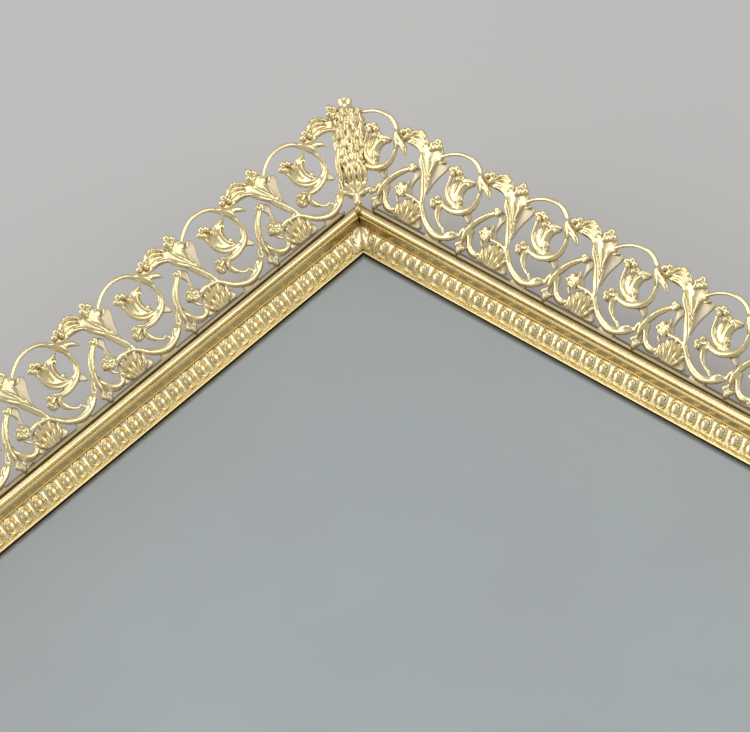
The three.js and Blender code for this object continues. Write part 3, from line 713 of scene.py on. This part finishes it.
def slotted(obj, matrix, radius, base, rise):
    """Cuts a screwdriver slot across a round head."""
    box = bpy.data.meshes.new("slot")
    w, l, lo, hi = 0.2, radius * 1.2, base + rise * 0.45, base + rise + 1
    pts = [(x * w, y * l, lo if z < 0 else hi) for x in (-1, 1) for y in (-1, 1) for z in (-1, 1)]
    m = np.array(matrix)
    pts = np.array(pts) @ m[:3, :3].T + m[:3, 3]
    sides = [(0, 1, 3, 2), (4, 6, 7, 5), (0, 4, 5, 1), (2, 3, 7, 6), (0, 2, 6, 4), (1, 5, 7, 3)]
    box.from_pydata((pts * MM).tolist(), [], sides)
    cutter = bpy.data.objects.new("cutter", box)
    bpy.context.scene.collection.objects.link(cutter)
    cut = obj.modifiers.new("slot", "BOOLEAN")
    cut.object = cutter
    cut.operation = "DIFFERENCE"
    cut.solver = "EXACT"
    apply_modifiers(obj)
    bpy.data.objects.remove(cutter)


# ---------------------------------------------------------------- felt under the board
def build_felt():
    """A flat sheet with a slightly uneven face below."""
    low, high = node_box("base_felt")
    nx, ny = 150, 90
    x, y = np.meshgrid(np.linspace(low[0], high[0], nx), np.linspace(low[1], high[1], ny), indexing="ij")
    draw = np.random.default_rng(5)
    face = low[2] + 0.06 * draw.random((nx, ny))
    above = np.stack([x, y, np.full_like(x, high[2])], -1).reshape(-1, 3)
    below = np.stack([x, y, face], -1).reshape(-1, 3)
    at = np.arange(nx * ny).reshape(nx, ny)
    quad = np.stack([at[:-1, :-1], at[1:, :-1], at[1:, 1:], at[:-1, 1:]], -1).reshape(-1, 4)
    rim = np.concatenate([at[:-1, 0], at[-1, :-1], at[:0:-1, -1], at[0, :0:-1]])
    skirt = np.stack([rim, rim + nx * ny, np.roll(rim, -1) + nx * ny, np.roll(rim, -1)], -1)
    faces = np.vstack([quad, quad[:, ::-1] + nx * ny, skirt])
    return make_mesh("felt_sheet", np.vstack([above, below]), faces, smooth=False)


# ---------------------------------------------------------------- materials
class Nodes:
    """A small helper that keeps node set-up short."""

    def __init__(self, name):
        self.mat = bpy.data.materials.new(name)
        self.mat.use_nodes = True
        self.tree = self.mat.node_tree
        self.bsdf = self.tree.nodes["Principled BSDF"]

    def add(self, kind, **props):
        node = self.tree.nodes.new(kind)
        for key, value in props.items():
            if key in node.inputs:
                node.inputs[key].default_value = value
            else:
                setattr(node, key, value)
        return node

    def link(self, a, out, b, into):
        self.tree.links.new(a.outputs[out], b.inputs[into])

    def coords(self):
        return self.add("ShaderNodeTexCoord")

    def noise(self, scale, detail=4.0, rough=0.55):
        n = self.add("ShaderNodeTexNoise", Scale=scale, Detail=detail, Roughness=rough)
        self.link(self.coords(), "Object", n, "Vector")
        return n

    def ramp(self, source, out, stops):
        r = self.add("ShaderNodeValToRGB")
        while len(r.color_ramp.elements) < len(stops):
            r.color_ramp.elements.new(0.5)
        for e, (at, colour) in zip(r.color_ramp.elements, stops):
            e.position = at
            e.color = (*colour, 1) if len(colour) == 3 else colour
        self.link(source, out, r, "Fac")
        return r

    def mix(self, fac, a, b, mode="MIX"):
        m = self.add("ShaderNodeMixRGB", blend_type=mode)
        for source, name in ((fac, "Fac"), (a, "Color1"), (b, "Color2")):
            if isinstance(source, (int, float)):
                m.inputs[name].default_value = source
            elif isinstance(source, tuple) and not hasattr(source[0], "outputs"):
                m.inputs[name].default_value = (*source, 1)
            else:
                self.link(source[0], source[1], m, name)
        return m

    def bump(self, source, out, strength, distance):
        b = self.add("ShaderNodeBump", Strength=strength, Distance=distance)
        self.link(source, out, b, "Height")
        self.link(b, "Normal", self.bsdf, "Normal")
        return b

    def set(self, **values):
        for key, value in values.items():
            self.bsdf.inputs[key.replace("_", " ")].default_value = value


def gilt(name, base, occlusion_shade, rough, grain=0.15, painted_shade=None, worn=None, reach=0.0009):
    """Old gilt: warm metal with painted shade darkening its recesses and a fine uneven surface.

    The per-vertex wear and shade value turns it to the painted shade colour. Where a worn colour is given,
    values up to 0.5 turn it to that pale, matt colour of wear first."""
    n = Nodes(name)
    n.set(Metallic=1.0)
    patch = n.noise(90, 5, 0.6)
    fine = n.noise(900, 3, 0.6)
    pale = tuple(min(1, c * 1.05 + 0.01) for c in base)
    tone = n.ramp(patch, "Fac", [(0.3, tuple(c * 0.86 for c in base)), (0.55, base), (0.8, pale)])
    # painted shade: recesses found by ambient occlusion are darkened towards the given shade colour
    recess = n.add("ShaderNodeAmbientOcclusion", samples=6, Distance=reach)
    shade = n.ramp(recess, "AO", [(0.15, (0.85, 0.85, 0.85)), (0.75, (0, 0, 0))])
    worked = n.mix((shade, "Color"), (tone, "Color"), occlusion_shade)
    if painted_shade:
        mask = n.add("ShaderNodeAttribute", attribute_name="patina")
        start = 0
        if worn:
            start = 0.5
            flat_share = n.ramp(mask, "Fac", [(0, (0, 0, 0)), (start, (1, 1, 1))])
            worked = n.mix((flat_share, "Color"), (worked, "Color"), worn)
        # painted shade: values from start up to 1 turn it to the dark shade colour
        dark_share = n.ramp(mask, "Fac", [(start, (0, 0, 0)), (1, (1, 1, 1))])
        worked = n.mix((dark_share, "Color"), (worked, "Color"), painted_shade)
    n.link(worked, "Color", n.bsdf, "Base Color")
    r = n.ramp(fine, "Fac", [(0.25, (rough - 0.07,) * 3), (0.8, (rough + 0.1,) * 3)])
    if worn:
        r = n.mix((flat_share, "Color"), (r, "Color"), (0.46, 0.46, 0.46))
    n.link(r, "Color", n.bsdf, "Roughness")
    n.bump(fine, "Fac", grain, 0.00012)
    return n.mat


def brass_material():
    n = Nodes("turned_brass")
    n.set(Metallic=1.0)
    patch = n.noise(400, 4, 0.6)
    tone = n.ramp(patch, "Fac", [(0.3, (0.62, 0.46, 0.2)), (0.7, (0.85, 0.68, 0.36))])
    n.link(tone, "Color", n.bsdf, "Base Color")
    r = n.ramp(patch, "Fac", [(0.2, (0.2, 0.2, 0.2)), (0.8, (0.4, 0.4, 0.4))])
    n.link(r, "Color", n.bsdf, "Roughness")
    n.bump(patch, "Fac", 0.1, 0.0001)
    return n.mat


def mirror_material():
    """Glass over a hazy silvering: a soft grey sheen under a clear, sharp surface."""
    n = Nodes("silvered_mirror")
    n.set(Metallic=0.35, Roughness=0.5, IOR=1.5)
    n.bsdf.inputs["Coat Weight"].default_value = 1.0
    n.bsdf.inputs["Coat Roughness"].default_value = 0.02
    n.bsdf.inputs["Coat IOR"].default_value = 1.6
    haze = n.noise(14, 5, 0.6)
    tone = n.ramp(haze, "Fac", [(0.3, (0.41, 0.448, 0.45)), (0.7, (0.38, 0.413, 0.415))])
    # painted shadow of the moulding along the mirror's edges, darkest just inside the lip
    split = n.add("ShaderNodeSeparateXYZ")
    n.link(n.coords(), "Object", split, "Vector")
    inset = []
    for axis, reach in (("X", HALF_X), ("Y", HALF_Y)):
        size = n.add("ShaderNodeMath", operation="ABSOLUTE")
        n.link(split, axis, size, 0)
        away = n.add("ShaderNodeMath", operation="SUBTRACT")
        away.inputs[0].default_value = reach * MM
        n.link(size, "Value", away, 1)
        inset.append(away)
    nearest = n.add("ShaderNodeMath", operation="MINIMUM")
    n.link(inset[0], "Value", nearest, 0)
    n.link(inset[1], "Value", nearest, 1)
    fade = n.add("ShaderNodeMapRange")
    fade.inputs["From Min"].default_value = 0.35 * MM
    fade.inputs["From Max"].default_value = 1.6 * MM
    n.link(nearest, "Value", fade, "Value")
    edge_shadow = n.mix((fade, "Result"), (0.035, 0.03, 0.018), (tone, "Color"))
    n.link(edge_shadow, "Color", n.bsdf, "Base Color")
    return n.mat


def board_material():
    n = Nodes("pressed_board")
    n.set(Roughness=0.85)
    fibre = n.noise(700, 6, 0.7)
    tone = n.ramp(fibre, "Fac", [(0.3, (0.13, 0.075, 0.04)), (0.7, (0.25, 0.16, 0.09))])
    n.link(tone, "Color", n.bsdf, "Base Color")
    n.bump(fibre, "Fac", 0.3, 0.0002)
    return n.mat


def card_material():
    n = Nodes("grey_card")
    n.set(Roughness=0.95)
    fibre = n.noise(1200, 5, 0.7)
    tone = n.ramp(fibre, "Fac", [(0.3, (0.34, 0.3, 0.24)), (0.7, (0.48, 0.43, 0.35))])
    n.link(tone, "Color", n.bsdf, "Base Color")
    n.bump(fibre, "Fac", 0.2, 0.0001)
    return n.mat


def felt_material():
    n = Nodes("wine_felt")
    n.set(Roughness=1.0)
    n.bsdf.inputs["Sheen Weight"].default_value = 0.5
    fuzz = n.noise(1600, 6, 0.75)
    tone = n.ramp(fuzz, "Fac", [(0.3, (0.07, 0.012, 0.018)), (0.7, (0.17, 0.035, 0.045))])
    n.link(tone, "Color", n.bsdf, "Base Color")
    n.bump(fuzz, "Fac", 0.5, 0.0003)
    return n.mat


def paint(obj, material):
    obj.data.materials.clear()
    obj.data.materials.append(material)


# ---------------------------------------------------------------- putting the pieces in place
# The second colour of each gilt is painted shade for its recesses. The moulding's and gallery's dark third
# colours are painted shade of the cove, grooves, shoulder and outer wall, and of the gallery's foot and
# flange; the gallery's pale last colour is wear on its flat webs.
MOULDING_GILT = gilt("moulding_gilt", (0.94, 0.80, 0.47), (0.55, 0.43, 0.21), 0.24,
                     painted_shade=(0.42, 0.30, 0.11))
GALLERY_GILT = gilt("gallery_gilt", (0.93, 0.79, 0.45), (0.42, 0.31, 0.14), 0.22,
                    painted_shade=(0.36, 0.30, 0.18), worn=(0.68, 0.59, 0.41), reach=0.0016)
ORNAMENT_GILT = gilt("ornament_gilt", (0.93, 0.79, 0.47), (0.48, 0.37, 0.18), 0.3)
BRASS = brass_material()


def add_flange(obj, side, points, faces):
    """Joins the flange to a casting; its vertices come last and get full painted shade."""
    flange = make_mesh("flange", points, faces, side_matrix(side), smooth=False)
    bm = bmesh.new()
    bm.from_mesh(obj.data)
    bm.from_mesh(flange.data)
    loose = [e for e in bm.edges if e.is_boundary]
    bmesh.ops.holes_fill(bm, edges=loose, sides=0)
    bm.to_mesh(obj.data)
    bm.free()
    bpy.data.objects.remove(flange)
    layer = obj.data.attributes["patina"]
    values = np.zeros(len(obj.data.vertices), np.float32)
    layer.data.foreach_get("value", values)
    values[-len(points):] = 1
    layer.data.foreach_set("value", values)


def place_galleries(motif, names, phase):
    """The castings of two opposite sides, which are alike."""
    half = SIDES[names[0]][0]
    first = build_gallery("gallery_casting_raw", half, phase, motif)
    flange = flange_points(half)
    for side in names:
        obj = copy_of(first, "gallery_casting_" + side, side_matrix(side))
        add_flange(obj, side, *flange)
        paint(obj, GALLERY_GILT)
        place(obj, "gilt_gallery", "gallery_" + side)
    bpy.data.objects.remove(first)


def place_ball_pin(corner):
    """A small ball on a shank, standing on the mitre."""
    low, high = node_box("corner_pin_" + corner)
    mid = (low + high) / 2
    ball, shank, top = 0.95, 0.5, low[2] + 0.85
    foot = low[2] - 1.6
    profile = [(0, foot), (shank, foot), (shank, top - 2 * ball)]
    profile += [(ball * math.cos(t), top - ball + ball * math.sin(t)) for t in np.linspace(-1.1, 1.45, 12)]
    profile.append((0, top))
    pin = turned("ball_pin_" + corner, profile, 28, Matrix.Translation((mid[0], mid[1], 0)))
    paint(pin, BRASS)
    place(pin, "fastener_brass", "corner_pin_" + corner)


def place_fastener(node, slot_head, radius, shank, rise):
    """A round-headed screw or pin that fills its CAD node, turned by a random angle about its axis."""
    low, high = node_box(node)
    along = np.array([*OUTWARD[node.split("_")[2]], 0.0])
    ends = sorted([low @ along, high @ along])
    mid = (low + high) / 2
    start = mid + along * (ends[0] - mid @ along)
    turn = Vector(along).to_track_quat("Z", "Y").to_matrix().to_4x4()
    matrix = Matrix.Translation(start) @ turn @ Matrix.Rotation(rng.uniform(0, math.pi), 4, "Z")
    neck = ends[1] - ends[0] - rise
    name = ("slotted_" if slot_head else "round_") + node[node.index("_") + 1:]
    obj = turned(name, dome(radius, rise, neck, shank, 0), 24, matrix)
    if slot_head:
        slotted(obj, matrix, radius, neck, rise)
    paint(obj, BRASS)
    place(obj, "fastener_brass", node)


# ---------------------------------------------------------------- build
motif = motif_field()
place_galleries(motif, ("back", "front"), 16.9 - HALF_X)
place_galleries(motif, ("left", "right"), HALF_Y - 0.1)

for side in SIDES:
    obj = build_moulding(side)
    paint(obj, MOULDING_GILT)
    place(obj, "gilt_moulding", "rail_" + side)

raw = build_ornament()
for corner in CORNERS:
    obj = copy_of(raw, "ornament_casting_" + corner, corner_matrix(corner))
    paint(obj, ORNAMENT_GILT)
    place(obj, "gilt_ornament", "corner_ornament_" + corner)
    place_ball_pin(corner)
bpy.data.objects.remove(raw)

for node in sorted(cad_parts):
    if node.startswith("gallery_screw_"):
        place_fastener(node, True, 1.9, 1.0, 1.3)
    elif node.startswith("board_pin_"):
        place_fastener(node, False, 0.9, 0.5, 0.6)

felt = build_felt()
paint(felt, felt_material())
place(felt, "felt", "base_felt")

looks = {"mirror_plate": mirror_material(), "base_board": board_material(), "mirror_liner": card_material()}
for node, material in looks.items():
    paint(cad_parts[node], material)
for corner in CORNERS:
    paint(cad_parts["corner_bracket_" + corner], BRASS)

# ---------------------------------------------------------------- floor, light and camera
floor_mesh = bpy.data.meshes.new("floor")
floor_mesh.from_pydata([(-4, -4, 0), (4, -4, 0), (4, 4, 0), (-4, 4, 0)], [], [(0, 1, 2, 3)])
floor = bpy.data.objects.new("floor", floor_mesh)
bpy.context.scene.collection.objects.link(floor)
floor_look = Nodes("pale_table")
floor_look.set(Roughness=0.42)
cloud = floor_look.noise(3, 2, 0.5)
floor_tone = floor_look.ramp(cloud, "Fac", [(0.3, (0.53, 0.515, 0.5)), (0.7, (0.56, 0.545, 0.53))])
floor_look.link(floor_tone, "Color", floor_look.bsdf, "Base Color")
paint(floor, floor_look.mat)

world = bpy.data.worlds.new("studio")
bpy.context.scene.world = world
world.use_nodes = True
sky = world.node_tree.nodes["Background"]
sky.inputs["Color"].default_value = (0.93, 0.96, 1.0, 1)
sky.inputs["Strength"].default_value = 0.52


def soft_light(name, place_at, target, size, power, colour=(1, 1, 1)):
    lamp = bpy.data.lights.new(name, "AREA")
    lamp.shape = "RECTANGLE"
    lamp.size, lamp.size_y = size
    lamp.energy = power
    lamp.color = colour
    obj = bpy.data.objects.new(name, lamp)
    obj.location = place_at
    obj.rotation_euler = (Vector(target) - Vector(place_at)).to_track_quat("-Z", "Y").to_euler()
    bpy.context.scene.collection.objects.link(obj)
    return obj


AIM = (-0.1, 0.05, 0)
soft_light("front_left", (-1.2, -1.0, 0.58), AIM, (1.4, 1.1), 10.5, (1, 0.98, 0.94))
soft_light("back_right", (1.0, 0.75, 0.8), AIM, (1.1, 0.9), 6, (1, 0.97, 0.92))
soft_light("overhead", (-0.5, 0.15, 1.75), AIM, (1.1, 1.1), 8, (1, 0.98, 0.95))

# millimetres from the back left corner of the mirror's opening, at the height of the mirror
CAMERA_AT = (625.5, -488.88, 718.68)
azimuth, elevation, roll = math.radians(52.2), math.radians(43.61), math.radians(12.04)
forward = Vector((-math.sin(azimuth) * math.cos(elevation), math.cos(azimuth) * math.cos(elevation),
                  -math.sin(elevation)))
right0 = Vector((math.cos(azimuth), math.sin(azimuth), 0))
up0 = right0.cross(forward)
up = up0 * math.cos(roll) + right0 * math.sin(roll)
right = forward.cross(up)
camera = bpy.data.cameras.new("camera")
camera.sensor_width = 36
camera.lens = 211.0
camera.dof.use_dof = False
view = bpy.data.objects.new("camera", camera)
view.matrix_world = Matrix((
    (right.x, up.x, -forward.x, (-HALF_X + CAMERA_AT[0]) * MM),
    (right.y, up.y, -forward.y, (HALF_Y + CAMERA_AT[1]) * MM),
    (right.z, up.z, -forward.z, (MIRROR_TOP + CAMERA_AT[2]) * MM),
    (0, 0, 0, 1),
))
bpy.context.scene.collection.objects.link(view)
bpy.context.scene.camera = view
bpy.context.scene.view_settings.view_transform = "Standard"
